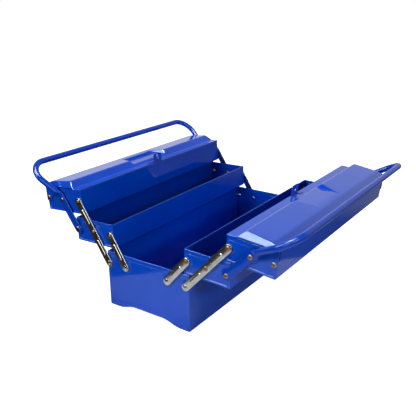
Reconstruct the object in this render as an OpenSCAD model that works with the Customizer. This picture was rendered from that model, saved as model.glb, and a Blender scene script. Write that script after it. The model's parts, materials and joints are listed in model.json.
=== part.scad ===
// Cantilever tool box: a deep steel base and four trays that fold out sideways on
// riveted links. Each half has a middle tray, a lidded top tray and a tube handle.
// The origin is on the floor under the middle of the base. X runs across the box,
// Y along it and Z up. The left half is the right half turned round by 180 degrees.

/* [Base] */
// Length of the base and of the trays
box_l = 490; // [420:1:560]
// Width of the base
base_w = 200; // [198:1:204]
// Height of the base at its rim
base_h = 119; // [112:1:120]
// Height of the base's pivots over the floor
base_pivot_up = 95; // [94.8:0.1:98]
// Distance from the base's side to its outer pivot
base_margin = 5.8; // [5:0.1:6.2]
// Spacing of the base's two pivots
base_pitch = 42.9; // [42.5:0.1:43.2]
// Height of the base's raised middle over its feet
arch_rise = 9.5; // [4:0.5:12]
// Half the width of that raised middle
arch_half_w = 34; // [20:1:50]
// Half the width at which the base's feet begin
foot_half_w = 78; // [60:1:90]

/* [Sheet] */
// Thickness of the sheet steel
sheet = 0.9; // [0.8:0.1:1]
// Outer radius of the folded bottom edges
fold_r = 2; // [1.5:0.5:4]
// Thickness of a folded rim
hem_t = 2; // [1.8:0.1:2.4]
// Height of a folded rim
hem_h = 8; // [5:0.5:10]
// Width of the border round an end panel's sunk field
border = 4; // [3:0.5:10]
// Depth of that field
field_depth = 0.7; // [0.5:0.1:0.7]
// Depth of an end panel's flanges, spot welded inside the walls
flange_l = 12; // [6:1:20]

/* [Trays] */
// Width of a tray
tray_w = 99; // [98:0.5:100]
// Height of a tray
tray_h = 49.7; // [47:0.1:50]
// Height of the pivots over a tray's bottom
pivot_up = 26.3; // [25:0.1:26.5]
// Distance from a tray's inner wall to its first pivot
inner_margin = 6; // [5.5:0.1:6.5]
// Spacing of the middle tray's inner and middle pivots
mid_pitch_in = 43.9; // [43.5:0.1:44.2]
// Spacing of the middle tray's middle and outer pivots
mid_pitch_out = 42.7; // [42.4:0.1:43]
// Spacing of the top tray's inner and middle pivots
top_pitch_in = 44.3; // [44:0.1:44.6]
// Spacing of the top tray's middle and outer pivots
top_pitch_out = 43.1; // [42:0.1:43.5]

/* [Links] */
// Spacing of the long link's three pivots
link_pitch = 67.5; // [67:0.1:68]
// Spacing of the short link's two pivots
short_pitch = 68.1; // [67.8:0.1:68.3]
// Width of a link
link_w = 15.8; // [14:0.2:16.8]
// Thickness of a link
link_t = 2; // [1.5:0.1:2.5]
// Length of the ribs stamped in a link
rib_l = 34; // [20:1:40]
// Width of those ribs
rib_w = 6; // [3:0.5:8]
// Height of those ribs
rib_rise = 0.6; // [0.3:0.1:1]

/* [Pose] */
// Outward lean of the left links from upright
lean_left = 33.2; // [20:0.1:42]
// Outward lean of the right links from upright, when fully open
lean_right = 42.4; // [30:0.1:42.6]

/* [Handle] */
// Spacing of the two pivots in a handle's arm
arm_pitch = 66.5; // [66.2:0.1:66.8]
// Diameter of the handle's tube
tube_d = 12.7; // [11:0.1:14]
// Wall thickness of the tube
tube_wall = 1.5; // [1:0.1:2]
// Width of the tube's flattened ends
arm_w = 18; // [16:0.5:20]
// Thickness of the flattened ends
arm_t = 3; // [2.4:0.1:3.5]
// Length of the flattened ends past the upper pivot
arm_past = 11; // [9:0.5:14]
// Length over which the flat turns into the round tube
arm_turn = 14; // [10:1:20]
// Height of the grip over the upper pivot, along the arm
grip_up = 97; // [90:1:110]
// Offset of the grip to the outer side of the arm
grip_out = 24.5; // [18:0.5:30]
// Distance that the bent tube's corners would reach past the ends of the box
grip_bulge = 29; // [24:1:36]
// Bend radius of the tube's middle
grip_bend = 36; // [30:1:38]

/* [Lid] */
// Gap between a tray's rim and its lid
lid_gap = 0.9; // [0.3:0.1:1]
// Gap between a tray's outer wall and the lid's skirt
skirt_gap = 0.4; // [0.3:0.1:0.6]
// Width of the flat strip along the lid's inner edge
strip_w = 18; // [14:1:22]
// Width of the slope between that strip and the raised panels
slope_w = 13; // [10:1:16]
// Height of the panels over the strip at their inner edge
panel_rise = 13.4; // [10:0.2:16]
// Fall of the panels from their inner to their outer edge
panel_fall = 3.8; // [1:0.2:5]
// Width of the outer slope
outer_slope_w = 17; // [14:1:28]
// Fall of the outer slope
outer_slope_fall = 5.6; // [3:0.1:7]
// Lean of the raised part's ends, as a run for each mm of height
end_lean = 0.65; // [0.4:0.05:0.8]
// Half the length of the dip in the lid's middle, at its foot
dip_half_l = 55.7; // [40:0.1:90]
// Half the length of that dip where it runs out
dip_half_l_out = 45; // [30:1:80]
// Distance of that dip's foot from the strip
dip_in = 5.2; // [2:0.1:8]
// Distance over which the dip runs out before the shoulder
dip_out = 11.4; // [4:0.1:20]
// Height of the outer skirt's lower edge over the pivots
skirt_low = 7; // [4:0.5:12]
// Distance that the skirt stops short of the lid's ends
skirt_short = 5; // [3:1:12]
// Depth of the lip at the ends of the strip
lip_h = 5; // [3:0.5:7]
// Radius of the ears that hang the lid
ear_r = 8.6; // [7:0.2:10]

/* [Padlock tab] */
// Width of the tab
tab_w = 27; // [20:1:34]
// Height of the tab over the lid
tab_h = 20; // [17:1:24]
// Thickness of the tab
tab_t = 1.6; // [1.2:0.1:2]
// Corner radius of the tab
tab_r = 5; // [2:0.5:6]
// Height of the padlock hole's middle over the lid
eye_up = 12; // [10:0.5:14]
// Width of the padlock hole
eye_w = 8; // [6:0.5:9]
// Height of the padlock hole
eye_h = 11; // [9.5:0.5:12]

/* [Rivets] */
// Radius of a rivet's shank
shank_r = 2.9; // [2.5:0.1:3]
// Radius of a rivet's outer head
head_r = 4.8; // [4.4:0.1:5]
// Height of a rivet's outer head
head_h = 1.4; // [1:0.1:1.8]
// Radius of the blind hole in the heads on the handles and lids
hollow_r = 1.5; // [1:0.1:2]
// Depth of that hole
hollow_depth = 1.8; // [1:0.1:2]
// Thickness of the washers behind the links
washer_t = 1.9; // [1.7:0.1:2.5]
// Radial play of a link on its rivet
play = 0.08; // [0.02:0.01:0.1]
// Radial play where a link or an arm closes a loop of the linkage
loop_play = 0.8; // [0.6:0.1:1.2]

/* [Hidden] */

$fn = 48;
paint = [0.02, 0.2, 0.68];
zinc = [0.66, 0.66, 0.62];
brass = [0.72, 0.58, 0.28];

half_l = box_l / 2;
rim_up = tray_h - pivot_up;
gap = 0.15;
link_y = washer_t + gap;
boss_r = 10.5;
washer_r = 7;
inner_head_r = 4.2;
inner_head_h = 1.2;
seat_play = 0.03;
arch_steps = 8;

// Points are [outward, up] in the right half's end view, and a lean is the angle by
// which something tips outward from upright.
function dir(lean) = [sin(lean), cos(lean)];
function across(tilt) = [cos(tilt), -sin(tilt)];
function tilt_of(v) = atan2(-v[1], v[0]);
function lean_of(v) = atan2(v[0], v[1]);
function mix(a, b, t) = a + t * (b - a);
function ease(t) = (1 - cos(180 * min(max(t, 0), 1))) / 2;

// The point left of the way from a to b, at the distances ra from a and rb from b
function corner(a, b, ra, rb) =
  let (d = norm(b - a), u = (b - a) / d, along = (ra * ra - rb * rb + d * d) / (2 * d))
  a + along * u + sqrt(ra * ra - along * along) * [-u[1], u[0]];

// Where the linkage stands at a lean of its long link. The loops aren't quite
// parallelograms, so the trays tip outward as they open and lie level when closed.
base_pivot = [base_w / 2 - base_margin, base_pivot_up];
base_pivot_in = base_pivot - [base_pitch, 0];
function mid_at(lean) = base_pivot + link_pitch * dir(lean);
function top_at(lean) = base_pivot + 2 * link_pitch * dir(lean);
function mid_in_at(lean) = corner(base_pivot_in, mid_at(lean), short_pitch, mid_pitch_in);
function mid_tilt(lean) = tilt_of(mid_at(lean) - mid_in_at(lean));
function arm_low_at(lean) = mid_at(lean) + mid_pitch_out * across(mid_tilt(lean));
function arm_high_at(lean) = corner(top_at(lean), arm_low_at(lean), top_pitch_in, arm_pitch);
function top_tilt(lean) = tilt_of(arm_high_at(lean) - top_at(lean));
function short_lean(lean) = lean_of(mid_in_at(lean) - base_pivot_in);
function arm_lean(lean) = lean_of(arm_high_at(lean) - arm_low_at(lean));
function lean(side) = side == "left" ? lean_left : lean_right;

// Tray frames have their origin at the long link's pivot. These are the trays' inner
// walls and pivots in them.
mid_wall = -inner_margin - mid_pitch_in;
mid_pivots = [-mid_pitch_in, 0, mid_pitch_out];
top_wall = -inner_margin;
top_pivots = [0, top_pitch_in, top_pitch_in + top_pitch_out];
ear_x = top_pivots[2];

// The lid's section, in the top tray's frame
strip_z = rim_up + lid_gap + sheet;
slope_x = top_wall + strip_w;
panel_x = slope_x + slope_w;
panel_z = strip_z + panel_rise;
skirt_x = top_wall + tray_w + skirt_gap + sheet;
shoulder_x = skirt_x - outer_slope_w;
shoulder_z = panel_z - panel_fall;
skirt_z = shoulder_z - outer_slope_fall;
lid_y = 0.3;
lid_end = half_l + lid_y + sheet;
lean_from = strip_z + 1.5;

// ---- placing ----

// The right half's things, or the same turned round for the left
module half(side) {
  rotate([0, 0, side == "left" ? 180 : 0]) children();
}

// Things drawn from an end face outward along +Y, at the box's front or rear end
module at_end(side, end) {
  flip = (end == "front") != (side == "left");
  mirror([0, flip ? 1 : 0, 0]) translate([0, half_l, 0]) children();
}

module both_ends() {
  for (flip = [0, 1]) mirror([0, flip, 0]) translate([0, half_l, 0]) children();
}

module frame_at(p, angle) {
  translate([p[0], 0, p[1]]) rotate([0, angle, 0]) children();
}

module mid_frame(side) {
  half(side) frame_at(mid_at(lean(side)), mid_tilt(lean(side))) children();
}

module top_frame(side) {
  half(side) frame_at(top_at(lean(side)), top_tilt(lean(side))) children();
}

// A flat shape drawn as [outward, up], upright, from y to y + t
module plate(t, y) {
  translate([0, y + t, 0]) rotate([90, 0, 0]) linear_extrude(t) children();
}

// A section drawn as [outward, up], run along the box
module along(l) {
  rotate([90, 0, 0]) linear_extrude(l, center = true) children();
}

// A round pin along Y from y to y + l
module pin(r, y, l) {
  translate([0, y, 0]) rotate([-90, 0, 0]) cylinder(r = r, h = l);
}

// ---- sheet metal ----

module round_bottom(w, h, r) {
  translate([0, r]) square([w, h - r]);
  translate([r, 0]) square([w - 2 * r, h]);
  for (x = [r, w - r]) translate([x, r]) circle(r);
}

// The space under the base's raised floor, as a shape that is cut away
module arch(lift) {
  rise = [for (i = [0:arch_steps]) let (t = i / arch_steps)
    [mix(-foot_half_w, -arch_half_w, t), arch_rise * ease(t)]];
  fall = [for (i = [0:arch_steps]) [-rise[arch_steps - i][0], rise[arch_steps - i][1]]];
  below = [[foot_half_w, -fold_r * 2], [-foot_half_w, -fold_r * 2]];
  translate([0, lift]) polygon(concat(rise, fall, below));
}

module rims(w, h) {
  for (x = [0, w - hem_t]) {
    translate([x, h - hem_h]) square([hem_t, hem_h - hem_t / 2]);
    translate([x + hem_t / 2, h - hem_t / 2]) circle(d = hem_t);
  }
}

module channel(w, h) {
  difference() {
    round_bottom(w, h - hem_t / 2, fold_r);
    translate([sheet, sheet]) round_bottom(w - 2 * sheet, h, fold_r - sheet);
  }
  rims(w, h);
}

module base_section() {
  difference() {
    translate([-base_w / 2, 0]) round_bottom(base_w, base_h - hem_t / 2, fold_r);
    arch(0);
    difference() {
      translate([sheet - base_w / 2, sheet])
        round_bottom(base_w - 2 * sheet, base_h, fold_r - sheet);
      arch(sheet);
    }
  }
  translate([-base_w / 2, 0]) rims(base_w, base_h);
}

// The sunk field of an end panel, which leaves the border and the pivots' bosses
module field(w, low, h, pivots, pivot_z, grow) {
  inset = border - grow;
  r = 4;
  difference() {
    union() {
      translate([inset, low + inset + r])
        square([w - 2 * inset, h - low - 2 * inset - 2 * r]);
      translate([inset + r, low + inset])
        square([w - 2 * inset - 2 * r, h - low - 2 * inset]);
      for (x = [inset + r, w - inset - r])
        for (z = [low + inset + r, h - inset - r])
          translate([x, z]) circle(r);
    }
    for (x = pivots) translate([x, pivot_z]) circle(boss_r - grow);
  }
}

// An end panel from its lower inner corner, with its outer face at y = 0. Its outline
// is the children, and its pivots are given from that corner.
module end_panel(w, low, h, pivots, pivot_z) {
  lap = 1;
  difference() {
    union() {
      plate(sheet, -sheet) difference() {
        children();
        field(w, low, h, pivots, pivot_z, 0);
      }
      plate(sheet, -sheet - field_depth) field(w, low, h, pivots, pivot_z, lap);
      translate([hem_t, -hem_t, h - hem_h]) cube([w - 2 * hem_t, hem_t - sheet / 2, hem_h]);
      for (x = [sheet, w - 2 * sheet])
        translate([x, -sheet / 2 - flange_l, fold_r + 2])
          cube([sheet, flange_l, h - hem_h - fold_r - 4]);
    }
    for (x = pivots)
      translate([x, 0, pivot_z]) pin(shank_r + seat_play, -2 * sheet, 3 * sheet);
  }
}

module tray_end(wall, pivots) {
  from_wall = [for (x = pivots) x - wall];
  translate([wall, 0, -pivot_up])
    end_panel(tray_w, 0, tray_h, from_wall, pivot_up) round_bottom(tray_w, tray_h, fold_r);
}

module base_end() {
  x = base_pivot[0] + base_w / 2;
  x_in = base_pivot_in[0] + base_w / 2;
  translate([-base_w / 2, 0, 0])
    end_panel(base_w, arch_rise, base_h, [base_w - x, base_w - x_in, x_in, x], base_pivot_up)
      difference() {
        round_bottom(base_w, base_h, fold_r);
        translate([base_w / 2, 0]) arch(0);
      }
}

module tray_shell(wall) {
  translate([wall, 0, -pivot_up]) along(box_l - 2 * sheet) channel(tray_w, tray_h);
}

// ---- rivets and washers ----

// A round cap of radius r and height h, standing on z = 0
module cap(r, h) {
  ball_r = (r * r + h * h) / (2 * h);
  intersection() {
    translate([0, 0, h - ball_r]) sphere(ball_r);
    cylinder(r = r + 1, h = h + 1);
  }
}

// A rivet from inside an end panel to a domed head at y = reach
module rivet(reach) {
  translate([0, -sheet, 0]) rotate([90, 0, 0]) cap(inner_head_r, inner_head_h);
  pin(shank_r, -sheet, reach + sheet);
  translate([0, reach, 0]) rotate([-90, 0, 0]) cap(head_r, head_h);
}

// The same with a blind hole in its head
module hollow_rivet(reach) {
  difference() {
    rivet(reach);
    pin(hollow_r, reach + head_h - hollow_depth, hollow_depth + 1);
  }
}

module washer() {
  difference() {
    pin(washer_r, 0, washer_t);
    pin(shank_r + seat_play, -1, washer_t + 2);
  }
}

module base_pivots() {
  both_ends()
    for (turn = [-1, 1])
      for (p = [base_pivot, base_pivot_in])
        translate([turn * p[0], 0, p[1]]) children();
}

// ---- links and handles ----

module bar(w, l) {
  translate([-w / 2, 0]) square([w, l]);
  for (z = [0, l]) translate([0, z]) circle(d = w);
}

// A link standing on its lower pivot, with holes at the heights in loose and tight
module link(tight, loose, ribs) {
  l = max(concat(tight, loose));
  difference() {
    union() {
      plate(link_t, link_y) bar(link_w, l);
      for (z = ribs)
        translate([0, 0, z - (rib_l - rib_w) / 2])
          plate(link_t / 2 + rib_rise, link_y + link_t / 2) bar(rib_w, rib_l - rib_w);
    }
    for (z = tight) translate([0, 0, z]) pin(shank_r + play, 0, 2 * link_y + link_t);
    for (z = loose) translate([0, 0, z]) pin(shank_r + loop_play, 0, 2 * link_y + link_t);
  }
}

module long_link() {
  link([0, link_pitch, 2 * link_pitch], [], [link_pitch / 2, 1.5 * link_pitch]);
}

module short_link() {
  link([0], [short_pitch], [short_pitch / 2]);
}

// The handle's tube lies in a plane that leans out from the arms by grip_lean. In
// that plane x runs up from the tube's foot and y along the box.
foot = [2, arm_pitch + arm_past + arm_turn];
foot_y = half_l + link_y + tube_d / 2;
grip = [grip_out, arm_pitch + grip_up];
grip_lean = lean_of(grip - foot);
grip_rise = norm(grip - foot);
bulge_y = half_l + grip_bulge;
leg = [grip_rise, bulge_y - foot_y];
bend_angle = 90 + atan2(leg[1], leg[0]);
bend_cut = grip_bend * tan(bend_angle / 2);
vent_up = 18;
vent_r = 1.5;

module tube_ring(slim) {
  difference() {
    circle(d = tube_d - slim);
    circle(d = tube_d - 2 * tube_wall + slim);
  }
}

// The straights are a hair slimmer than the bends and reach a little way into them
module bent_tube() {
  straight = bulge_y - bend_cut;
  lap = 1;
  translate([grip_rise, straight + lap, 0]) rotate([90, 0, 0])
    linear_extrude(2 * straight + 2 * lap) tube_ring(0.1);
  for (flip = [0, 1])
    mirror([0, flip, 0]) {
      translate([grip_rise - grip_bend, straight, 0])
        rotate_extrude(angle = bend_angle) translate([grip_bend, 0]) tube_ring(0);
      along_leg() difference() {
        linear_extrude(norm(leg) - bend_cut + lap) tube_ring(0.1);
        translate([0, 0, vent_up]) rotate([90, 0, 0]) cylinder(r = vent_r, h = tube_d);
      }
    }
}

// A leg of the tube, drawn upright from its foot
module along_leg() {
  translate([0, foot_y, 0]) rotate([0, 90, bend_angle - 90]) children();
}

module in_grip_plane() {
  translate([foot[0], 0, foot[1]]) rotate([0, grip_lean - 90, 0]) children();
}

// The flattened end of the tube, with round edges
module arm() {
  edge_r = arm_t / 2;
  l = arm_pitch + arm_past;
  flat_w = arm_w - arm_t;
  y = link_y + edge_r;
  difference() {
    union() {
      plate(arm_t, link_y) {
        translate([-flat_w / 2, 0]) square([flat_w, l]);
        circle(d = flat_w);
      }
      for (x = [-flat_w / 2, flat_w / 2]) translate([x, y, 0]) cylinder(r = edge_r, h = l);
      translate([0, y, 0]) rotate([90, 0, 0])
        rotate_extrude() translate([flat_w / 2, 0]) circle(edge_r);
    }
    pin(shank_r + play, 0, 2 * link_y + arm_t);
    translate([0, 0, arm_pitch]) pin(shank_r + loop_play, 0, 2 * link_y + arm_t);
  }
}

// Where the flat turns into the round tube. It reaches a little way into both.
module arm_throat() {
  slim = 0.4;
  hull() {
    for (x = [-1, 1])
      translate([x * (arm_w - arm_t) / 2, half_l + link_y + arm_t / 2, arm_pitch + arm_past - 2])
        cylinder(d = arm_t - slim, h = 3, $fn = 32);
    in_grip_plane() along_leg() cylinder(d = tube_d - slim, h = 2, $fn = 32);
  }
}

module handle() {
  in_grip_plane() bent_tube();
  both_ends() arm();
  for (flip = [0, 1]) mirror([0, flip, 0]) arm_throat();
}

// ---- lid ----

// The lid's raised part, or with inset = sheet the hollow under it
module lid_block(inset) {
  low = strip_z - sheet - (inset > 0 ? 30 : 0);
  end = lid_end - inset;
  top = panel_z + 10;
  section = [
    [slope_x + 0.4 * inset, low],
    [slope_x + 0.4 * inset, strip_z - inset],
    [panel_x + 0.4 * inset, panel_z - inset],
    [shoulder_x - 0.1 * inset, shoulder_z - inset],
    [skirt_x - inset, skirt_z - 0.8 * inset],
    [skirt_x - inset, low]];
  end_top = end - end_lean * (top - lean_from);
  side = [[-end, low], [-end, lean_from], [-end_top, top], [end_top, top], [end, lean_from], [end, low]];
  difference() {
    intersection() {
      along(3 * half_l) polygon(section);
      rotate([90, 0, 90]) linear_extrude(2 * tray_w) polygon(side);
    }
    translate([0, 0, -inset]) lid_dip(inset);
  }
}

// The dip behind the padlock tab: over a floor that climbs from the foot of the slope
// to run out in the panel, and between walls that lean apart and draw together outward
module lid_dip(grow) {
  floor_x = slope_x + dip_in;
  floor_z = strip_z + dip_in * panel_rise / slope_w;
  out_x = shoulder_x - dip_out;
  out_z = panel_z - panel_fall * (out_x - panel_x) / (shoulder_x - panel_x);
  climb = (out_z - floor_z) / (out_x - floor_x);
  flare = 0.88;
  narrowing = (dip_half_l - dip_half_l_out + flare * (out_z - floor_z)) / (out_x - floor_x);
  spread = norm([flare, narrowing]);
  deep = 12;
  tall = 60;
  intersection() {
    along(3 * dip_half_l) polygon([
      [floor_x - 5, floor_z - 5 * climb], [out_x + 5, out_z + 5 * climb],
      [out_x + 5, out_z + 40], [floor_x - 5, out_z + 40]]);
    translate([floor_x, 0, floor_z]) rotate([0, -atan2(narrowing, flare), 0])
      translate([-30, 0, 0]) rotate([90, 0, 90]) linear_extrude(160) polygon([
        [-dip_half_l - grow + deep * spread, -deep], [dip_half_l + grow - deep * spread, -deep],
        [dip_half_l + grow + tall * spread, tall], [-dip_half_l - grow - tall * spread, tall]]);
  }
}

// The point where the line from p touches the circle of radius r round c, on its left
function tangent(p, c, r) =
  let (d = norm(c - p), turn = asin(r / d), u = (c - p) / d, l = sqrt(d * d - r * r))
  p + l * [u[0] * cos(turn) + u[1] * sin(turn), u[1] * cos(turn) - u[0] * sin(turn)];

// The lid's end flange: a lip under the strip, an arch over the rim and the ear
lip_z = strip_z - lip_h;
arch_z = strip_z + 1.2;
ear_from = [ear_x - 24, arch_z];
module lid_end_arch() {
  lip_end = top_wall + 9;
  arch_from = lip_end + 20;
  rise = [for (i = [0:6]) let (t = i / 6) [mix(lip_end, arch_from, t), mix(lip_z, arch_z, ease(t))]];
  polygon(concat([[lip_end, lip_z - 20]], rise, [ear_from, [ear_x, lip_z - 20]]));
}

module lid_ear() {
  touch = tangent(ear_from, [ear_x, 0], ear_r);
  intersection() {
    union() {
      polygon([ear_from, touch, [ear_x, 0], [skirt_x, 0], [skirt_x, arch_z]]);
      translate([ear_x, 0]) circle(ear_r);
    }
    translate([ear_from[0], -ear_r]) square([skirt_x - ear_from[0], ear_r + arch_z]);
  }
}

module lid() {
  difference() {
    union() {
      lid_block(0);
      translate([top_wall, -lid_end, strip_z - sheet]) cube([strip_w + 2, 2 * lid_end, sheet]);
      translate([skirt_x - sheet, skirt_short - lid_end, skirt_low])
        cube([sheet, 2 * (lid_end - skirt_short), skirt_z - skirt_low - 1]);
      both_ends() plate(sheet, lid_y)
        translate([top_wall, lip_z]) square([skirt_x - top_wall, lip_h]);
    }
    lid_block(sheet);
    both_ends() plate(9, -6) difference() {
      lid_end_arch();
      lid_ear();
    }
  }
  difference() {
    both_ends() plate(sheet, lid_y) lid_ear();
    both_ends() translate([ear_x, 0, 0]) pin(shank_r + play, -1, 4);
  }
}

// A tab that stands on the lid's inner edge, with a padlock hole, a welded foot and
// a thin tongue
module padlock_tab() {
  x = top_wall + 0.2;
  foot_t = 1.2;
  difference() {
    translate([x, 0, strip_z]) rotate([90, 0, 90]) linear_extrude(tab_t) {
      translate([-tab_w / 2, 0]) square([tab_w, tab_h - tab_r]);
      translate([tab_r - tab_w / 2, 0]) square([tab_w - 2 * tab_r, tab_h]);
      for (y = [tab_r - tab_w / 2, tab_w / 2 - tab_r])
        translate([y, tab_h - tab_r]) circle(tab_r);
    }
    translate([x - 1, 0, strip_z + eye_up]) rotate([90, 0, 90]) linear_extrude(tab_t + 2) {
      square([eye_w, eye_h - eye_w], center = true);
      for (z = [-1, 1]) translate([0, z * (eye_h - eye_w) / 2]) circle(d = eye_w);
    }
  }
  translate([x, -tab_w / 2 + 2, strip_z]) cube([4, tab_w - 4, foot_t]);
  translate([x + 2, tab_w / 2 - 5, strip_z]) cube([7, 3, foot_t]);
  translate([x + 7, tab_w / 2 - 5, strip_z]) cube([2.5, 15, foot_t]);
}

// ---- sub-parts ----

module base_shell() {
  color(paint) along(box_l - 2 * sheet) base_section();
}

module base_end_at(end) {
  color(paint) at_end("right", end) base_end();
}

module base_rivets() {
  color(brass) base_pivots() rivet(link_y + link_t + gap);
}

module base_washers() {
  color(zinc) base_pivots() washer();
}

module mid_tray_shell(side) {
  color(paint) mid_frame(side) tray_shell(mid_wall);
}

module mid_tray_end(side, end) {
  color(paint) mid_frame(side) at_end("right", side == "left" ? other(end) : end)
    tray_end(mid_wall, mid_pivots);
}

function other(end) = end == "front" ? "rear" : "front";

module mid_tray_rivets(side) {
  color(brass) mid_frame(side) both_ends() {
    for (x = [mid_pivots[0], mid_pivots[1]])
      translate([x, 0, 0]) rivet(link_y + link_t + gap);
    translate([mid_pivots[2], 0, 0]) hollow_rivet(link_y + arm_t + gap);
  }
}

module mid_tray_washers(side) {
  color(zinc) mid_frame(side) both_ends()
    for (x = mid_pivots) translate([x, 0, 0]) washer();
}

module top_tray_shell(side) {
  color(paint) top_frame(side) tray_shell(top_wall);
}

module top_tray_end(side, end) {
  color(paint) top_frame(side) at_end("right", side == "left" ? other(end) : end)
    tray_end(top_wall, top_pivots);
}

module top_tray_rivets(side) {
  color(brass) top_frame(side) both_ends() {
    rivet(link_y + link_t + gap);
    translate([top_pivots[1], 0, 0]) hollow_rivet(link_y + arm_t + gap);
  }
}

module top_tray_washers(side) {
  color(zinc) top_frame(side) both_ends()
    for (x = [top_pivots[0], top_pivots[1]]) translate([x, 0, 0]) washer();
}

module lid_rivets(side) {
  color(brass) top_frame(side) both_ends()
    translate([ear_x, 0, 0]) hollow_rivet(lid_y + sheet + gap);
}

module lid_of(side) {
  color(paint) top_frame(side) lid();
}

module padlock_tab_of(side) {
  color(paint) top_frame(side) padlock_tab();
}

module long_link_of(side, end) {
  color(zinc) half(side) frame_at(base_pivot, lean(side)) at_end(side, end) long_link();
}

module short_link_of(side, end) {
  color(zinc) half(side) frame_at(base_pivot_in, short_lean(lean(side)))
    at_end(side, end) short_link();
}

module handle_of(side) {
  color(paint) half(side) frame_at(arm_low_at(lean(side)), arm_lean(lean(side))) handle();
}

base_shell();
base_end_at("front");  // base_end_front
base_end_at("rear");  // base_end_rear
base_rivets();
base_washers();
mid_tray_shell("left");  // left_mid_tray_shell
mid_tray_end("left", "front");  // left_mid_tray_end_front
mid_tray_end("left", "rear");  // left_mid_tray_end_rear
mid_tray_rivets("left");  // left_mid_tray_rivets
mid_tray_washers("left");  // left_mid_tray_washers
top_tray_shell("left");  // left_top_tray_shell
top_tray_end("left", "front");  // left_top_tray_end_front
top_tray_end("left", "rear");  // left_top_tray_end_rear
top_tray_rivets("left");  // left_top_tray_rivets
top_tray_washers("left");  // left_top_tray_washers
long_link_of("left", "front");  // left_long_link_front
long_link_of("left", "rear");  // left_long_link_rear
short_link_of("left", "front");  // left_short_link_front
short_link_of("left", "rear");  // left_short_link_rear
handle_of("left");  // left_handle
lid_of("left");  // left_lid
lid_rivets("left");  // left_lid_rivets
padlock_tab_of("left");  // left_padlock_tab
mid_tray_shell("right");  // right_mid_tray_shell
mid_tray_end("right", "front");  // right_mid_tray_end_front
mid_tray_end("right", "rear");  // right_mid_tray_end_rear
mid_tray_rivets("right");  // right_mid_tray_rivets
mid_tray_washers("right");  // right_mid_tray_washers
top_tray_shell("right");  // right_top_tray_shell
top_tray_end("right", "front");  // right_top_tray_end_front
top_tray_end("right", "rear");  // right_top_tray_end_rear
top_tray_rivets("right");  // right_top_tray_rivets
top_tray_washers("right");  // right_top_tray_washers
long_link_of("right", "front");  // right_long_link_front
long_link_of("right", "rear");  // right_long_link_rear
short_link_of("right", "front");  // right_short_link_front
short_link_of("right", "rear");  // right_short_link_rear
handle_of("right");  // right_handle
lid_of("right");  // right_lid
lid_rivets("right");  // right_lid_rivets
padlock_tab_of("right");  // right_padlock_tab
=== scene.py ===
import bpy
import bmesh
import json
import math
import numpy as np
from mathutils import Matrix, Vector


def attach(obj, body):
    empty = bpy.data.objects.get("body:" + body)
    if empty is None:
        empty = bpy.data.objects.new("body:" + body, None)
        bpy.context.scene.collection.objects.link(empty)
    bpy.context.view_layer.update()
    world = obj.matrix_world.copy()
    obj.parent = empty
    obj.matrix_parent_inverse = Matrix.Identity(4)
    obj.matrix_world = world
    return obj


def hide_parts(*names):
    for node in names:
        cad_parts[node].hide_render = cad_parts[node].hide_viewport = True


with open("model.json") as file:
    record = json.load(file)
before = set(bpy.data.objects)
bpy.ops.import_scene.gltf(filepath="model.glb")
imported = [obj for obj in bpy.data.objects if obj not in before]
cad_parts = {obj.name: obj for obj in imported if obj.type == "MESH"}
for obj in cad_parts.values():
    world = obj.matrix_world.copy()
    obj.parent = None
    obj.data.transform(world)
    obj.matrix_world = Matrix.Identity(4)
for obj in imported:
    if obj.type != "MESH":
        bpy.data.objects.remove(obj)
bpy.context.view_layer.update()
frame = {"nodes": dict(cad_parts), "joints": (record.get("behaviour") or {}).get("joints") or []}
nodes = frame["nodes"]
joints = {j["name"]: j for j in frame["joints"]}

# ---- camera: solved from the box's edges and pivots ----

CAM_AT = Vector((0.67457, -1.01636, 0.60386))
YAW, PITCH, ROLL = math.radians(-34.56), math.radians(20.27), math.radians(-0.40)
FOCAL_PX, PHOTO_PX, SENSOR_W = 592.37, 416, 36.0


def make_camera():
    ahead = Vector((math.sin(YAW) * math.cos(PITCH), math.cos(YAW) * math.cos(PITCH), -math.sin(PITCH)))
    right = Vector((math.cos(YAW), -math.sin(YAW), 0.0))
    up = right.cross(ahead)
    level, plumb = right, up
    right = level * math.cos(ROLL) + plumb * math.sin(ROLL)
    up = plumb * math.cos(ROLL) - level * math.sin(ROLL)
    data = bpy.data.cameras.new("camera")
    data.sensor_width = SENSOR_W
    data.lens = FOCAL_PX / PHOTO_PX * SENSOR_W
    data.clip_start, data.clip_end = 0.05, 30.0
    cam = bpy.data.objects.new("camera", data)
    bpy.context.scene.collection.objects.link(cam)
    turn = Matrix((right, up, -ahead)).transposed()
    cam.matrix_world = Matrix.Translation(CAM_AT) @ turn.to_4x4()
    bpy.context.scene.camera = cam


make_camera()
bpy.context.scene.view_settings.view_transform = "Standard"

# ---- materials ----


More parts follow.
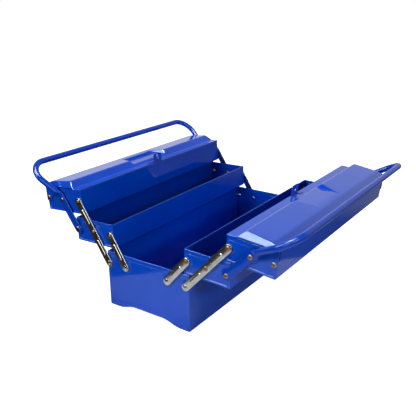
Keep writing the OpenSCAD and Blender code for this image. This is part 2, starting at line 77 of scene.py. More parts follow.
class Mat:
    """A node material with helpers for procedural detail in object coordinates."""

    def __init__(self, name):
        self.m = bpy.data.materials.new(name)
        self.m.use_nodes = True
        self.t = self.m.node_tree
        self.t.nodes.clear()
        self.out = self.new("ShaderNodeOutputMaterial")
        self.b = self.new("ShaderNodeBsdfPrincipled")
        self.link(self.b.outputs[0], self.out.inputs[0])
        self.at = self.new("ShaderNodeTexCoord").outputs["Object"]

    def new(self, kind):
        return self.t.nodes.new(kind)

    def link(self, a, b):
        self.t.links.new(a, b)

    def set(self, **values):
        for k, v in values.items():
            self.b.inputs[k.replace("_", " ")].default_value = v

    def noise(self, scale, detail=3.0, rough=0.5):
        n = self.new("ShaderNodeTexNoise")
        n.inputs["Scale"].default_value = scale
        n.inputs["Detail"].default_value = detail
        n.inputs["Roughness"].default_value = rough
        self.link(self.at, n.inputs["Vector"])
        return n.outputs[0]

    def ramp(self, value, stops):
        r = self.new("ShaderNodeValToRGB")
        while len(r.color_ramp.elements) < len(stops):
            r.color_ramp.elements.new(0.5)
        for e, (p, c) in zip(r.color_ramp.elements, stops):
            e.position = p
            e.color = (*c, 1.0)
        self.link(value, r.inputs[0])
        return r.outputs[0]

    def span(self, value, lo, hi):
        r = self.new("ShaderNodeMapRange")
        r.inputs["To Min"].default_value = lo
        r.inputs["To Max"].default_value = hi
        self.link(value, r.inputs["Value"])
        return r.outputs[0]

    def bump(self, value, strength, distance, below=None):
        b = self.new("ShaderNodeBump")
        b.inputs["Strength"].default_value = strength
        b.inputs["Distance"].default_value = distance
        self.link(value, b.inputs["Height"])
        if below:
            self.link(below, b.inputs["Normal"])
        self.link(b.outputs[0], self.b.inputs["Normal"])
        return b.outputs[0]

    def paint_shade_in_hollows(self, colour, reach, dark, shut, free, alone):
        """The colour with painted shade: darker in hollows no wider than the reach, fully below shut, not at
        all above free.
        """
        shade = self.new("ShaderNodeAmbientOcclusion")
        shade.samples = 8
        shade.only_local = alone
        shade.inputs["Distance"].default_value = reach
        depth = self.new("ShaderNodeMapRange")
        depth.inputs["From Min"].default_value = shut
        depth.inputs["From Max"].default_value = free
        self.link(shade.outputs["AO"], depth.inputs["Value"])
        mix = self.new("ShaderNodeMix")
        mix.data_type = "RGBA"
        mix.inputs[6].default_value = (*dark, 1.0)
        self.link(depth.outputs[0], mix.inputs["Factor"])
        self.link(colour, mix.inputs[7])
        return mix.outputs[2]


def grey(v):
    return (v, v, v)


def enamel(name, deep, light, gloss, peel):
    """Glossy stove enamel: nearly a mirror, with the faint orange peel of sprayed paint."""
    m = Mat(name)
    m.set(IOR=1.45, Specular_IOR_Level=gloss, Specular_Tint=(0.72, 0.88, 1.0, 1.0))
    tone = m.ramp(m.noise(9.0, 2.0), [(0.35, deep), (0.65, light)])
    # Painted shade: darker deep inside the open box and its trays (reach 0.21 m), and darker again in narrow
    # gaps and seams (reach 5 mm).
    tone = m.paint_shade_in_hollows(tone, reach=0.21, dark=(0.0, 0.009, 0.115), shut=0.05, free=0.62, alone=False)
    tone = m.paint_shade_in_hollows(tone, reach=0.005, dark=(0.0, 0.004, 0.04), shut=0.15, free=0.6, alone=False)
    m.link(tone, m.b.inputs["Base Color"])
    m.link(m.span(m.noise(60.0, 2.0), 0.04, 0.09), m.b.inputs["Roughness"])
    wave = m.bump(m.noise(55.0, 1.0), 2 * peel, 0.0005)
    m.bump(m.noise(700.0, 2.0), peel, 0.0001, wave)
    return m.m


def zinc(name):
    """Zinc plate over stamped steel, faintly clouded."""
    m = Mat(name)
    m.set(Metallic=1.0)
    tone = m.ramp(m.noise(90.0, 4.0, 0.6), [(0.3, (0.38, 0.385, 0.37)), (0.8, (0.55, 0.56, 0.55))])
    m.link(tone, m.b.inputs["Base Color"])
    m.link(m.span(m.noise(300.0, 3.0), 0.14, 0.24), m.b.inputs["Roughness"])
    m.bump(m.noise(1200.0, 2.0), 0.08, 0.0001)
    return m.m


def brass(name):
    """Brass, with painted shade darkening the blind holes of the rivets."""
    m = Mat(name)
    m.set(Metallic=1.0)
    tone = m.ramp(m.noise(500.0, 3.0), [(0.3, (0.18, 0.125, 0.055)), (0.7, (0.34, 0.25, 0.12))])
    tone = m.paint_shade_in_hollows(tone, reach=0.004, dark=(0.012, 0.010, 0.008), shut=0.75, free=0.97, alone=True)
    m.link(tone, m.b.inputs["Base Color"])
    m.link(m.span(m.noise(800.0, 2.0), 0.24, 0.36), m.b.inputs["Roughness"])
    m.bump(m.noise(2500.0, 2.0), 0.1, 0.0001)
    return m.m


BLUE = enamel("blue_enamel", (0.0, 0.056, 0.50), (0.0, 0.063, 0.54), 0.58, 0.05)
TUBE_BLUE = enamel("tube_enamel", (0.0, 0.044, 0.44), (0.0, 0.048, 0.46), 0.34, 0.01)
ZINC = zinc("zinc_plate")
BRASS = brass("brass")

# ---- the part's dimensions in mm, as in its source ----

HALF_L, SHEET, HEM_T, HEM_H, FOLD_R = 245.0, 0.9, 2.0, 8.0, 2.0
BORDER, BORDER_TOP, FIELD_DEPTH, FIELD_R, PRESS_W = 4.0, 8.6, 0.7, 3.0, 1.3
BOSS_R, BOSS_BLEND, FLANGE_L, FLANGE_SHORT, FLANGE_GAP = 10.5, 3.0, 12.0, 2.0, 0.02
BASE_W, BASE_H, BASE_PIVOT_UP = 200.0, 119.0, 95.0
ARCH_RISE, ARCH_HALF_W, FOOT_HALF_W = 9.5, 34.0, 78.0
TRAY_W, TRAY_H, PIVOT_UP, MARGIN = 99.0, 49.7, 26.3, 6.0
MID_PITCH_IN, TOP_PITCH_IN = 43.9, 44.3
LINK_PITCH, SHORT_PITCH, LINK_Y, LINK_T, LINK_W = 67.5, 68.1, 2.05, 2.0, 15.8
RIB_L, RIB_W, RIB_RISE, RIB_SLOPE, CROWN_GAP = 34.0, 6.0, 0.9, 1.9, 0.02
ARM_PITCH, ARM_W, ARM_T, ARM_PAST, ARM_TURN, FLAT_SHORT = 66.5, 18.0, 3.0, 11.0, 14.0, 2.0
TUBE_D, GRIP_UP, GRIP_OUT, GRIP_BULGE, GRIP_BEND, FOOT_OUT = 12.7, 97.0, 24.5, 29.0, 36.0, 2.0
STRIP_W, SLOPE_W, PANEL_RISE, PANEL_FALL = 18.0, 13.0, 13.4, 3.8
OUTER_SLOPE_W, OUTER_SLOPE_FALL, END_LEAN, LEAN_UP = 17.0, 5.6, 0.65, 1.5
DIP_HALF_L, DIP_HALF_L_OUT, DIP_IN, DIP_OUT, DIP_FLARE = 55.7, 45.0, 5.2, 11.4, 0.88
SKIRT_LOW, SKIRT_SHORT, LIP_H, LID_GAP, SKIRT_GAP, LID_Y, EAR_R = 7.0, 5.0, 5.0, 0.9, 0.4, 0.3, 8.6
LIP_L, ARCH_L, ARCH_UP, EAR_L, FLANGE_LEAST = 9.0, 29.0, 1.2, 24.0, 0.2
LID_EDGE_R, LID_INNER_R = 1.2, 1.0
RIDGE_BLEND, SLOPE_BLEND, END_BLEND, DIP_FLOOR_BLEND, DIP_BLEND, STRIP_BLEND = 0.8, 3.2, 2.4, 2.0, 1.6, 1.6


def pivot(side, joint):
    """Where a joint turns, as [outward, up] in mm."""
    x, _, z = joints[f"{side}_{joint}"]["pos_m"]
    return Vector((abs(x), z)) * 1000.0


def tilt(v):
    return math.atan2(-v.y, v.x)


def lean(v):
    return math.atan2(v.x, v.y)


def linkage(side):
    """The pivot that each moving shape is drawn from, and how far it leans or tips outward."""
    fold, short = pivot(side, "fold"), pivot(side, "short_link_front_turn")
    mid, low = pivot(side, "mid_tray_level"), pivot(side, "handle_turn")
    top, ear = pivot(side, "top_tray_level"), pivot(side, "lid_hinge")
    mid_out, top_out = (low - mid).normalized(), (ear - top).normalized()
    mid_in, high = mid - MID_PITCH_IN * mid_out, top + TOP_PITCH_IN * top_out
    return {"mid": (mid, tilt(mid_out)), "top": (top, tilt(top_out)), "long": (fold, lean(top - fold)),
            "short": (short, lean(mid_in - short)), "arm": (low, lean(high - low))}


SIDES = ("left", "right")
ENDS = ("front", "rear")
LINKAGE = {side: linkage(side) for side in SIDES}
EAR_X = (pivot("right", "lid_hinge") - pivot("right", "top_tray_level")).length
MID_PITCH_OUT = (pivot("right", "handle_turn") - pivot("right", "mid_tray_level")).length
MM = Matrix.Scale(0.001, 4)


def place(side, what):
    """Takes a shape in mm, drawn outward, along the box and up from its pivot, to its place."""
    if what == "base":
        return MM
    at, turn = LINKAGE[side][what]
    half = Matrix.Rotation(math.pi if side == "left" else 0.0, 4, "Z")
    return half @ MM @ Matrix.Translation((at.x, 0, at.y)) @ Matrix.Rotation(turn, 4, "Y")


def end_sign(side, end):
    """The sign that an end's Y has in the half's own frame."""
    return 1.0 if (end == "rear") == (side != "left") else -1.0


# ---- mesh building ----


class Mesh:
    """Gathers quads and polygons from several shapes into one piece."""

    def __init__(self):
        self.v, self.f = [], []

    def add(self, verts, faces):
        n = len(self.v)
        self.v += [tuple(float(c) for c in p) for p in verts]
        self.f += [tuple(i + n for i in f) for f in faces]

    def grid(self, rows, closed=False, keep=None):
        """Quads between rows of equally many points. keep(i, j) may leave some out."""
        n, m = len(rows), len(rows[0])
        faces = []
        for i in range(n - 1):
            for j in range(m if closed else m - 1):
                if keep is None or keep(i, j):
                    k = (j + 1) % m
                    faces.append((i * m + j, i * m + k, (i + 1) * m + k, (i + 1) * m + j))
        self.add([p for r in rows for p in r], faces)

    def tube(self, rows):
        """A closed skin through rings of points, with flat ends."""
        self.grid(rows, closed=True)
        m, last = len(rows[0]), len(self.v)
        first = last - m * len(rows)
        self.f.append(tuple(range(first, first + m))[::-1])
        self.f.append(tuple(range(last - m, last)))

    def box(self, a, b):
        lo, hi = [min(p) for p in zip(a, b)], [max(p) for p in zip(a, b)]
        corners = [(x, y, z) for z in (lo[2], hi[2]) for y in (lo[1], hi[1]) for x in (lo[0], hi[0])]
        faces = [(0, 2, 3, 1), (4, 5, 7, 6), (0, 1, 5, 4), (2, 6, 7, 3), (0, 4, 6, 2), (1, 3, 7, 5)]
        self.add(corners, faces)


def thicken(bm, inside, t):
    """Gives an open skin its thickness t towards the side where the point inside lies."""
    bmesh.ops.recalc_face_normals(bm, faces=bm.faces)
    if sum(f.calc_area() * f.normal.dot(f.calc_center_median() - inside) for f in bm.faces) < 0:
        bmesh.ops.reverse_faces(bm, faces=bm.faces[:])
    bm.normal_update()
    outer, border = bm.faces[:], [e for e in bm.edges if e.is_boundary]
    inner = {v: bm.verts.new(v.co - v.normal * t) for v in bm.verts[:]}
    for e in border:
        a, b = e.link_loops[0].vert, e.link_loops[0].link_loop_next.vert
        bm.faces.new((b, a, inner[a], inner[b]))
    for f in outer:
        bm.faces.new([inner[v] for v in reversed(f.verts)])


def piece(name, mesh, where, body, mat, replaces, inside=None, sharp=35.0):
    """Makes a piece from a Mesh in mm. An open skin has a point on its inner side, and gets thickness."""
    me = bpy.data.meshes.new(name)
    me.from_pydata([tuple(where @ Vector(v)) for v in mesh.v], [], mesh.f)
    bm = bmesh.new()
    bm.from_mesh(me)
    bmesh.ops.remove_doubles(bm, verts=bm.verts, dist=1e-6)
    bmesh.ops.dissolve_degenerate(bm, edges=bm.edges, dist=1e-6)
    if inside:
        thicken(bm, where @ Vector(inside), SHEET * 0.001)
    else:
        bmesh.ops.recalc_face_normals(bm, faces=bm.faces)
    for f in bm.faces:
        f.smooth = True
    for e in bm.edges:
        e.smooth = len(e.link_faces) == 2 and e.calc_face_angle(0.0) < math.radians(sharp)
    bm.to_mesh(me)
    bm.free()
    me.materials.append(mat)
    o = bpy.data.objects.new(name, me)
    bpy.context.scene.collection.objects.link(o)
    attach(o, body)
    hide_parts(*replaces)
    return o


def lines(*stops):
    """Values from stop to stop, each span cut into equal steps of about the size given for it."""
    out = []
    for (a, step), (b, _) in zip(stops, stops[1:]):
        n = max(1, round((b - a) / step))
        out += [a + (b - a) * k / n for k in range(n)]
    return out + [stops[-1][0]]


def both_ways(values, middle):
    """Values below the middle, the middle and the same above it."""
    low = [v for v in values if v < middle - 1e-6]
    return low + [middle] + [2 * middle - v for v in reversed(low)]


def smoothstep(v):
    v = np.clip(v, 0.0, 1.0)
    return v * v * (3 - 2 * v)


def ease(t):
    return (1 - np.cos(np.pi * np.clip(t, 0.0, 1.0))) / 2


def smin(a, b, k):
    h = np.clip(0.5 + 0.5 * (b - a) / k, 0, 1)
    return b * (1 - h) + a * h - k * h * (1 - h)


def smax(a, b, k):
    return -smin(-a, -b, k)


def round_off(dist, r):
    """How far a face falls back near its edge, where the edge is rounded by r."""
    d = np.clip(dist, 0, r)
    return r - np.sqrt(np.maximum(r * r - (r - d) ** 2, 0))


# Mesh lines over an edge that is rounded by the thickness of the sheet, and steps round a rim.
ROUND = [0.0, 0.07, 0.2, 0.4, 0.65, 0.9]
RIM_STEPS = 8


# ---- end panels: a pressed field, round edges and a rolled rim ----


def tray_bottom(u):
    return round_off(np.minimum(u, TRAY_W - u), FOLD_R)


def base_bottom(u):
    arch = ARCH_RISE * ease((FOOT_HALF_W - abs(u - BASE_W / 2)) / (FOOT_HALF_W - ARCH_HALF_W))
    return arch + round_off(np.minimum(u, BASE_W - u), FOLD_R)


def end_skin(w, h, us, zs, bottom, rise, pivots, pivot_z):
    """Columns of points [across, out, up] over an end panel's outer face and rolled rim."""
    columns = []
    top = h - HEM_T / 2
    field_low, field_top = rise + BORDER, h - BORDER_TOP
    for u in us:
        low = float(bottom(u))
        z = low + np.array(zs) * (top - low) / top
        qx = abs(u - w / 2) - w / 2 + BORDER + FIELD_R
        qz = abs(z - (field_top + field_low) / 2) - (field_top - field_low) / 2 + FIELD_R
        inside = FIELD_R - np.hypot(np.maximum(qx, 0), np.maximum(qz, 0)) - np.minimum(np.maximum(qx, qz), 0)
        for p in pivots:
            inside = smin(inside, np.hypot(u - p, z - pivot_z) - BOSS_R, BOSS_BLEND)
        y = -FIELD_DEPTH * smoothstep(inside / PRESS_W + 0.5)
        y -= round_off(np.minimum(min(u, w - u), z - low), SHEET)
        edge = float(y[-1])
        column = [(u, yy, zz) for yy, zz in zip(y, z)]
        for k in range(1, RIM_STEPS + 1):
            turn = math.pi * k / RIM_STEPS
            mid, r = (edge - HEM_T) / 2, (edge + HEM_T) / 2
            column.append((u, mid + r * math.cos(turn), top + HEM_T / 2 * math.sin(turn)))
        column.append((u, -HEM_T, h - HEM_H))
        columns.append(column)
    return columns


def end_piece(side, what, end, body, w, h, us, zs, bottom, rise, pivots, pivot_z, at):
    """An end panel of width w and height h, and the two flanges behind it, from its lower corner at."""
    sign = end_sign(side, end)
    m = Mesh()
    columns = end_skin(w, h, us, zs, bottom, rise, pivots, pivot_z)
    rows = [[(at[0] + u, sign * (HALF_L + y), at[1] + z) for u, y, z in c] for c in columns]
    m.grid(rows)
    node = f"base_end_{end}" if what == "base" else f"{side}_{what}_tray_end_{end}"
    piece(f"{node}_pressed", m, place(side, what), body, BLUE, [node],
          inside=(at[0] + w / 2, sign * (HALF_L - 30), at[1] + h / 2))
    flanges = Mesh()
    low, high = at[1] + FOLD_R + FLANGE_SHORT, at[1] + h - HEM_H - FLANGE_SHORT
    for x in (SHEET + FLANGE_GAP, w - 2 * SHEET - FLANGE_GAP):
        flanges.box((at[0] + x, sign * (HALF_L - SHEET), low),
                    (at[0] + x + SHEET, sign * (HALF_L - SHEET - FLANGE_L), high))
    piece(f"{node}_flanges", flanges, place(side, what), body, BLUE, [])


def under_rim(h):
    """Stops for the mesh lines over the upper border of the pressed field and up to the rim."""
    return (h - BORDER_TOP - 2, 0.4), (h - BORDER_TOP + 1.2, 0.9), (h - HEM_T / 2, 1)


def make_tray_ends():
    border = ((SHEET, 0.7), (BORDER - 1, 0.4), (BORDER + 2.5, 1.1))
    us = both_ways(ROUND + lines(*border, (TRAY_W / 2, 1)), TRAY_W / 2)
    zs = ROUND + lines(*border, *under_rim(TRAY_H))
    walls = {"mid": -MARGIN - MID_PITCH_IN, "top": -MARGIN}
    pivots = {"mid": (-MID_PITCH_IN, 0.0, MID_PITCH_OUT), "top": (0.0, TOP_PITCH_IN, EAR_X)}
    for side in SIDES:
        for what, wall in walls.items():
            for end in ENDS:
                end_piece(side, what, end, f"{side}_{what}_tray", TRAY_W, TRAY_H, us, zs, tray_bottom, 0.0,
                          [p - wall for p in pivots[what]], PIVOT_UP, (wall, -PIVOT_UP))


def make_base_ends():
    border = ((SHEET, 0.7), (BORDER - 1, 0.4), (BORDER + 2.5, 1.2))
    us = both_ways(ROUND + lines(*border, (BASE_W / 2 - ARCH_HALF_W, 3), (BASE_W / 2, 1)), BASE_W / 2)
    field_low = ARCH_RISE + BORDER
    zs = ROUND + lines((SHEET, 2), (field_low - 2.5, 0.6), (field_low + 3.5, 4), (BASE_PIVOT_UP - 17, 1.2),
                       *under_rim(BASE_H))
    outer = pivot("right", "fold").x
    inner = pivot("right", "short_link_front_turn").x
    pivots = [BASE_W / 2 + x for x in (-outer, -inner, inner, outer)]
    for end in ENDS:
        end_piece("right", "base", end, "base", BASE_W, BASE_H, us, zs, base_bottom, ARCH_RISE, pivots,
                  BASE_PIVOT_UP, (-BASE_W / 2, 0.0))


# ---- lids ----

STRIP_Z = TRAY_H - PIVOT_UP + LID_GAP + SHEET
SLOPE_X = -MARGIN + STRIP_W
PANEL_X, PANEL_Z = SLOPE_X + SLOPE_W, STRIP_Z + PANEL_RISE
SKIRT_X = -MARGIN + TRAY_W + SKIRT_GAP + SHEET
SHOULDER_X, SHOULDER_Z = SKIRT_X - OUTER_SLOPE_W, PANEL_Z - PANEL_FALL
LID_END = HALF_L + LID_Y + SHEET
LEAN_FROM = STRIP_Z + LEAN_UP
DIP_X, DIP_Z = SLOPE_X + DIP_IN, STRIP_Z + DIP_IN * PANEL_RISE / SLOPE_W
DIP_OUT_X = SHOULDER_X - DIP_OUT
DIP_OUT_Z = PANEL_Z - PANEL_FALL * (DIP_OUT_X - PANEL_X) / (SHOULDER_X - PANEL_X)
DIP_CLIMB = (DIP_OUT_Z - DIP_Z) / (DIP_OUT_X - DIP_X)
DIP_NARROWING = (DIP_HALF_L - DIP_HALF_L_OUT + DIP_FLARE * (DIP_OUT_Z - DIP_Z)) / (DIP_OUT_X - DIP_X)
LIP_Z, ARCH_Z = STRIP_Z - LIP_H, STRIP_Z + ARCH_UP
LIP_END, ARCH_FROM, EAR_FROM = -MARGIN + LIP_L, -MARGIN + ARCH_L, EAR_X - EAR_L
BLOCK_LOW = STRIP_Z - SHEET
# Where the mesh lines lie on the end flanges, from top to bottom, and a point on the lid's inner side.
FLANGE_SHARES = (0, 0.2, 0.5, 0.9, 1)
UNDER_LID = (40, 0, -20)


def lid_height(x, y):
    """The pressed lid's upper face: strip, slope, panel and outer slope, the leaning ends and the dip."""
    slope = STRIP_Z + (x - SLOPE_X) * PANEL_RISE / SLOPE_W
    panel = PANEL_Z - (x - PANEL_X) * PANEL_FALL / (SHOULDER_X - PANEL_X)
    outer = SHOULDER_Z - (x - SHOULDER_X) * OUTER_SLOPE_FALL / OUTER_SLOPE_W
    end = LEAN_FROM + (LID_END - abs(y)) / END_LEAN
    top = smin(smin(smin(panel, outer, RIDGE_BLEND), slope, SLOPE_BLEND), end, END_BLEND)
    floor = DIP_Z + DIP_CLIMB * (x - DIP_X)
    wall = DIP_Z + (abs(y) - DIP_HALF_L + DIP_NARROWING * (x - DIP_X)) / DIP_FLARE
    top = smin(top, smax(floor, wall, DIP_FLOOR_BLEND), DIP_BLEND)
    return smax(top, STRIP_Z, STRIP_BLEND)


def lid_end_low(x):
    """The lower edge of the lid's end flange: the lip, the arch over the rim and the ear."""
    if x < EAR_FROM:
        return LIP_Z + (ARCH_Z - LIP_Z) * float(ease((x - LIP_END) / (ARCH_FROM - LIP_END)))
    reach = math.hypot(EAR_X - EAR_FROM, ARCH_Z)
    down = math.atan2(ARCH_Z, EAR_X - EAR_FROM) + math.asin(EAR_R / reach)
    touch = EAR_FROM + math.sqrt(reach ** 2 - EAR_R ** 2) * math.cos(down)
    if x < touch:
        return ARCH_Z - (x - EAR_FROM) * math.tan(down)
    return -math.sqrt(EAR_R ** 2 - (x - EAR_X) ** 2)


def lid_mesh():
    """The pressed lid as an open skin, with mesh lines close together where it bends."""
    m = Mesh()
    near = [d * LID_EDGE_R / SHEET for d in reversed(ROUND)]
    skirt_end = LID_END - SKIRT_SHORT
    xs = [d - MARGIN for d in ROUND]
    xs += lines((LID_INNER_R - MARGIN, 3), (SLOPE_X - 3, 0.8), (PANEL_X + 4, 1.2), (SHOULDER_X - 5.3, 0.8),
                (SHOULDER_X + 6.7, 2), (SKIRT_X - LID_EDGE_R, 1))[:-1]
    xs += [SKIRT_X - d for d in near]
    ys = lines((0, 4), (DIP_HALF_L_OUT - 13, 0.9), (DIP_HALF_L + 12.3, 8), (LID_END - 18.2, 0.9),
               (skirt_end, 0.8), (LID_END - LID_EDGE_R, 1))[:-1]
    ys += [LID_END - d for d in near]
    ys = both_ways([-y for y in reversed(ys)], 0.0)
    skirt = [BLOCK_LOW + 2, BLOCK_LOW, SKIRT_LOW + 8, SKIRT_LOW + 0.6, SKIRT_LOW]

    def top_z(x, y):
        outer = round_off(min(SKIRT_X - x, LID_END - abs(y)), LID_EDGE_R)
        return float(lid_height(x, y) - (outer + round_off(x + MARGIN, LID_INNER_R)))

    rows = [[(x, y, top_z(x, y)) for x in xs] + [(SKIRT_X, y, z) for z in skirt] for y in ys]
    first_low = len(xs) + 1
    m.grid(rows, keep=lambda i, j: j < first_low or max(abs(ys[i]), abs(ys[i + 1])) < skirt_end + 0.01)
    for y in (LID_END, -LID_END):
        tops = [top_z(x, y) for x in xs]
        lows = [min(lid_end_low(x), z - FLANGE_LEAST) for x, z in zip(xs, tops)]
        m.grid([[(x, y, a + (b - a) * t) for x, a, b in zip(xs, tops, lows)] for t in FLANGE_SHARES])
    return m


def make_lids():
    mesh = lid_mesh()
    for side in SIDES:
        piece(f"{side}_lid_pressed", mesh, place(side, "top"), f"{side}_lid_body", BLUE,
              [f"{side}_lid"], inside=UNDER_LID)


# ---- links: stamped plates, long and short, with raised ribs ----


# How the face's edge of a link is rounded: [below the face, how far inward]. Then its back edge.
LINK_EDGE = ((0.45, 0.0), (0.2, 0.07), (0.07, 0.2), (0.0, 0.45))
LINK_BACK_EDGE = 0.3
SIDE_STEPS, CAP_STEPS = 8, 16


def stadium(l, r, inward):
    """A loop of points round a bar of length l and end radius r, moved inward, as [across, up]."""
    rr = r - inward
    side = [(rr, l * k / SIDE_STEPS) for k in range(SIDE_STEPS)]
    turns = [math.pi * k / CAP_STEPS for k in range(CAP_STEPS)]
    cap = [(rr * math.cos(a), l + rr * math.sin(a)) for a in turns]
    loop = side + cap
    return loop + [(-x, l - z) for x, z in loop]


def link_mesh(l, ribs, sign):
    """A plate with softened edges and ribs on its outer face. Each outline is [out, how far inward]."""
    r = LINK_W / 2
    back, face = LINK_Y, LINK_Y + LINK_T
    edge = [(back, LINK_BACK_EDGE), (back + LINK_BACK_EDGE, 0.0)]
    edge += [(face - below, inward) for below, inward in LINK_EDGE]
    slope = lines((0.0, 0.25), (RIB_SLOPE, 1))
    step = [(face - 0.1, 0.0)] + [(face + RIB_RISE * float(smoothstep(t / RIB_SLOPE)), t) for t in slope]
    shapes = [(0.0, l, r, edge + [(face, r - CROWN_GAP)])]
    for mid in ribs:
        half = (RIB_L - RIB_W) / 2
        crown = [(face + RIB_RISE, RIB_W / 2 - CROWN_GAP)]
        shapes.append((mid - half, 2 * half, RIB_W / 2, step + crown))
    m = Mesh()
    for low, length, radius, rings in shapes:
        loops = [[(x, sign * (HALF_L + y), low + z) for x, z in stadium(length, radius, inward)]
                 for y, inward in rings]
        m.tube(loops)
    return m


def make_links():
    kinds = {"long": (2 * LINK_PITCH, (LINK_PITCH / 2, 1.5 * LINK_PITCH)),
             "short": (SHORT_PITCH, (SHORT_PITCH / 2,))}
    for side in SIDES:
        for what, (l, ribs) in kinds.items():
            for end in ENDS:
                node = f"{side}_{what}_link_{end}"
                piece(f"{node}_stamped", link_mesh(l, ribs, end_sign(side, end)), place(side, what),
                      f"{node}_body", ZINC, [node], sharp=40.0)


# ---- handles: one tube, flattened into the arms ----

# How finely the round end, the neck, the leg, the bend and half the grip are cut, and the tube around.
END_STEPS, NECK_STEPS, LEG_STEPS, BEND_STEPS, GRIP_STEPS, TUBE_SIDES = 8, 12, 8, 20, 10, 32
# How much the tube's radius is reduced, so that it stays within the solid one.
TUBE_INSET = 0.04


def handle_path():
    """Centre, half width and half thickness from an arm's end to the grip's middle."""
    half_w, half_t, r = ARM_W / 2, ARM_T / 2, TUBE_D / 2 - TUBE_INSET
    inner = HALF_L + LINK_Y
    path = []
    for k in range(END_STEPS + 1):
        t = half_w * math.cos(math.pi / 2 * k / END_STEPS)
        thin = math.sqrt(max(half_t ** 2 - max(t - half_w + half_t, 0) ** 2, 0.01))
        path.append(((0.0, inner + half_t, -t), max(math.sqrt(max(half_w ** 2 - t * t, 0)), thin), thin))
    neck_z = ARM_PITCH + ARM_PAST - FLAT_SHORT
    neck_l = FLAT_SHORT + ARM_TURN
    path += [((0.0, inner + half_t, z), half_w, half_t) for z in (20, 45, neck_z)]
    foot = Vector((FOOT_OUT, 0.0, neck_z + neck_l))
    grip = Vector((GRIP_OUT, 0.0, ARM_PITCH + GRIP_UP))
    rise = (grip - foot).length
    up = (grip - foot) / rise
    foot_y, bulge_y = inner + r, HALF_L + GRIP_BULGE
    # The leg leans outward by slant, then the grip's bend turns it to run along the box.
    slant = math.atan2(bulge_y - foot_y, rise)
    cut = GRIP_BEND * math.tan((math.pi / 2 + slant) / 2)
    leg = math.hypot(rise, bulge_y - foot_y) - cut

    def in_plane(a, y):
        p = foot + up * a
        return (p.x, y, p.z)

    for k in range(1, NECK_STEPS):
        t = k / NECK_STEPS
        s = float(smoothstep(t))
        b = half_t + (r - half_t) * s
        x = FOOT_OUT * s
        path.append(((x, inner + b, neck_z + t * neck_l), half_w + (r - half_w) * s, b))
    for k in range(LEG_STEPS + 1):
        a = leg * k / LEG_STEPS
        path.append((in_plane(a * math.cos(slant), foot_y + a * math.sin(slant)), r, r))
    turn = math.pi / 2 + slant
    straight = bulge_y - cut
    for k in range(1, BEND_STEPS + 1):
        left = turn - turn * k / BEND_STEPS
        up_to = rise - GRIP_BEND + GRIP_BEND * math.cos(left)
        path.append((in_plane(up_to, straight + GRIP_BEND * math.sin(left)), r, r))
    path += [(in_plane(rise, straight * (1 - k / GRIP_STEPS)), r, r) for k in range(1, GRIP_STEPS + 1)]
    return path


def handle_mesh():
    """Rings of points across the path, mirrored for the other half."""
    path = handle_path()
    centres = [Vector(p[0]) for p in path]
    wide = Vector((1, 0, 0))
    rings = []
    for i, (c, a, b) in enumerate(path):
        c = Vector(c)
        ahead = (centres[min(i + 1, len(path) - 1)] - centres[max(i - 1, 0)]).normalized()
        wide = (wide - ahead * wide.dot(ahead)).normalized()
        thick = ahead.cross(wide)
        ring = []
        for k in range(TUBE_SIDES):
            turn = 2 * math.pi * (k + 0.5) / TUBE_SIDES
            across = b * math.cos(turn) + (a - b) * math.copysign(1, math.cos(turn))
            ring.append(tuple(c + wide * across + thick * (b * math.sin(turn))))
        rings.append(ring)
    rings += [[(x, -y, z) for x, y, z in ring] for ring in reversed(rings[:-1])]
    m = Mesh()
    m.tube(rings)
    return m


def make_handles():
    mesh = handle_mesh()
    for side in SIDES:
        piece(f"{side}_handle_tube", mesh, place(side, "arm"), f"{side}_handle_body", TUBE_BLUE,
              [f"{side}_handle"], sharp=60.0)


# ---- the CAD nodes that stay: finish and softened edges ----


TAB_EDGE = 0.35


def soften(o, width):
    """Gives the edges of a CAD node a small bevel, width in mm."""
    bevel = o.modifiers.new("soft_edges", "BEVEL")
    bevel.width = width * 0.001
    bevel.segments = 2
    bevel.limit_method = "ANGLE"
    bevel.angle_limit = math.radians(40)
    normals = o.modifiers.new("even_normals", "WEIGHTED_NORMAL")
    normals.keep_sharp = True


def dress_nodes():
    for name, o in nodes.items():
        zinc_plated = "washers" in name or "link" in name or name == "base_rivets"
        o.data.materials.clear()
        o.data.materials.append(ZINC if zinc_plated else BRASS if "rivets" in name else BLUE)
        if "padlock_tab" in name:
            soften(o, TAB_EDGE)


dress_nodes()
make_tray_ends()
make_base_ends()
make_lids()
make_links()
make_handles()

# ---- floor, lamps and world ----

# The camera sees white paper. Mirror images show a sheet with an edge, and a shadow behind the right half:
# the ways across them, where they begin and end along these, how soft their borders are and how dark
# the shadow is near the box and far from it.
PAPER_ACROSS, PAPER_EDGE = (1.0, 0.925, 0.0), -0.488
SHADE_ACROSS, SHADE_FROM, SHADE_TO = (1.76, 1.0, 0.0), 0.788, 1.14
SHARP, SOFT, SHADE_NEAR, SHADE_FAR = 0.012, 0.1, 0.9, 0.6
FLOOR_HALF, FLOOR_DOWN, FLOOR_GLOW = 6.0, 0.0004, 0.9


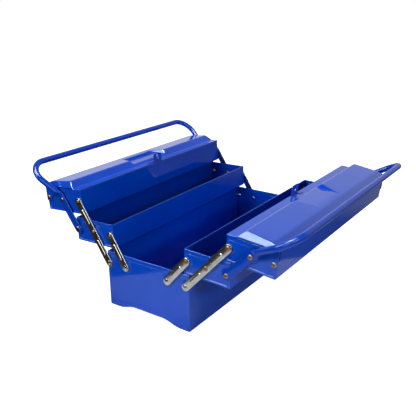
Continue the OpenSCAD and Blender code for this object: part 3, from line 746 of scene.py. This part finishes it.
def make_stage():
    me = bpy.data.meshes.new("floor")
    s = FLOOR_HALF
    me.from_pydata([(-s, -s, 0), (s, -s, 0), (s, s, 0), (-s, s, 0)], [], [(0, 1, 2, 3)])
    floor = bpy.data.objects.new("floor", me)
    floor.location.z = -FLOOR_DOWN
    bpy.context.scene.collection.objects.link(floor)
    m = Mat("floor_paper")
    m.set(Roughness=0.8, Specular_IOR_Level=0.0, Emission_Color=(1, 1, 1, 1))
    lp = m.new("ShaderNodeLightPath")

    def across(way):
        d = m.new("ShaderNodeVectorMath")
        d.operation = "DOT_PRODUCT"
        d.inputs[1].default_value = way
        m.link(m.at, d.inputs[0])
        return d.outputs["Value"]

    def fade(value, lo, hi, a, b):
        e = m.new("ShaderNodeMapRange")
        e.interpolation_type = "SMOOTHSTEP"
        for k, v in (("From Min", lo), ("From Max", hi), ("To Min", a), ("To Max", b)):
            e.inputs[k].default_value = v
        m.link(value, e.inputs["Value"])
        return e.outputs[0]

    def math_node(kind, a, b):
        n = m.new("ShaderNodeMath")
        n.operation = kind
        n.use_clamp = True
        m.link(a, n.inputs[0])
        m.link(b, n.inputs[1])
        return n.outputs[0]

    past = fade(across(PAPER_ACROSS), PAPER_EDGE - SHARP, PAPER_EDGE + SHARP, 1.0, 0.0)
    behind = across(SHADE_ACROSS)
    begins = fade(behind, SHADE_FROM - SHARP, SHADE_FROM + SHARP, 0.0, SHADE_NEAR)
    ends = fade(behind, SHADE_TO - SOFT, SHADE_TO + SOFT, 1.0, SHADE_FAR)
    shade = math_node("MULTIPLY", begins, ends)
    dark = math_node("SUBTRACT", math_node("MAXIMUM", past, shade), lp.outputs["Is Camera Ray"])
    tone = m.new("ShaderNodeMix")
    tone.data_type = "RGBA"
    m.link(dark, tone.inputs["Factor"])
    m.link(m.ramp(m.noise(3.0), [(0.3, grey(0.80)), (0.7, grey(0.84))]), tone.inputs[6])
    tone.inputs[7].default_value = (0.045, 0.035, 0.025, 1)
    m.link(tone.outputs[2], m.b.inputs["Base Color"])
    amount = m.new("ShaderNodeMath")
    amount.operation = "MULTIPLY"
    amount.inputs[1].default_value = FLOOR_GLOW
    m.link(lp.outputs["Is Camera Ray"], amount.inputs[0])
    m.link(amount.outputs[0], m.b.inputs["Emission Strength"])
    me.materials.append(m.m)


# Where mirror images show a softbox: its direction, the cosine of its half angle and its brightness.
# The last one is the bright middle of the second.
SOFTBOXES = (((-0.47, -0.68, 0.56), 0.956, 16.5), ((-0.10, -0.20, 0.975), 0.93, 15.0),
             ((0.82, -0.335, 0.465), 0.955, 7.0), ((0.35, -0.86, 0.37), 0.94, 4.0),
             ((-0.10, -0.20, 0.975), 0.985, 40.0))
SOFTBOX_EDGE = 0.015
LIGHT_LEVEL, CAMERA_LEVEL = 0.13, 1.0
# How the room's brightness goes with height and depth: from, to, brightness before and after.
BY_HEIGHT = (0.50, 0.72, 0.86, 0.36)
BY_DEPTH = (-0.35, 0.25, 0.18, 1.0)


def make_world():
    """White for the camera, plain for lighting, and in mirror images a room that is pale low at the back."""
    w = bpy.data.worlds.new("studio")
    bpy.context.scene.world = w
    w.use_nodes = True
    t = w.node_tree
    t.nodes.clear()

    def new(kind, **inputs):
        n = t.nodes.new(kind)
        for k, v in inputs.items():
            n.inputs[k.replace("_", " ")].default_value = v
        return n

    def span(value, lo, hi, a, b):
        r = new("ShaderNodeMapRange", From_Min=lo, From_Max=hi, To_Min=a, To_Max=b)
        r.interpolation_type = "SMOOTHSTEP"
        t.links.new(value, r.inputs["Value"])
        return r.outputs[0]

    def times(a, b):
        n = new("ShaderNodeMath")
        n.operation = "MULTIPLY"
        t.links.new(a, n.inputs[0])
        t.links.new(b, n.inputs[1])
        return n.outputs[0]

    way = new("ShaderNodeSeparateXYZ")
    generated = new("ShaderNodeTexCoord").outputs["Generated"]
    t.links.new(generated, way.inputs[0])
    room = times(span(way.outputs["Z"], *BY_HEIGHT), span(way.outputs["Y"], *BY_DEPTH))
    for towards, inner, bright in SOFTBOXES:
        near = new("ShaderNodeVectorMath")
        near.operation = "DOT_PRODUCT"
        near.inputs[1].default_value = towards
        t.links.new(generated, near.inputs[0])
        both = new("ShaderNodeMath")
        both.operation = "ADD"
        box = span(near.outputs["Value"], inner - SOFTBOX_EDGE, inner + SOFTBOX_EDGE, 0.0, bright)
        t.links.new(room, both.inputs[0])
        t.links.new(box, both.inputs[1])
        room = both.outputs[0]
    lp = new("ShaderNodeLightPath")
    seen = new("ShaderNodeMath")
    seen.operation = "MAXIMUM"
    t.links.new(lp.outputs["Is Camera Ray"], seen.inputs[0])
    t.links.new(lp.outputs["Is Transmission Ray"], seen.inputs[1])
    plain = new("ShaderNodeMix", A=LIGHT_LEVEL, B=CAMERA_LEVEL)
    t.links.new(seen.outputs[0], plain.inputs["Factor"])
    level = new("ShaderNodeMix")
    t.links.new(lp.outputs["Is Glossy Ray"], level.inputs["Factor"])
    t.links.new(plain.outputs[0], level.inputs["A"])
    t.links.new(room, level.inputs["B"])
    bg = new("ShaderNodeBackground", Color=(1, 1, 1, 1))
    t.links.new(level.outputs[0], bg.inputs["Strength"])
    t.links.new(bg.outputs[0], new("ShaderNodeOutputWorld").inputs[0])


AIM = Vector((0, 0, 0.1))


def lamp(name, at, size, power):
    """An area lamp that lights the part. The world's softboxes stand for it in mirror images."""
    data = bpy.data.lights.new(name, "AREA")
    data.size = size
    data.energy = power
    o = bpy.data.objects.new(name, data)
    o.location = at
    o.rotation_euler = (AIM - Vector(at)).to_track_quat("-Z", "Y").to_euler()
    o.visible_glossy = False
    bpy.context.scene.collection.objects.link(o)


make_stage()
make_world()
lamp("key", (-0.60, -1.62, 1.45), 0.58, 28)
lamp("side", (1.75, -0.72, 1.08), 0.15, 12)
lamp("top", (-0.1, 0.3, 2.3), 1.2, 23)
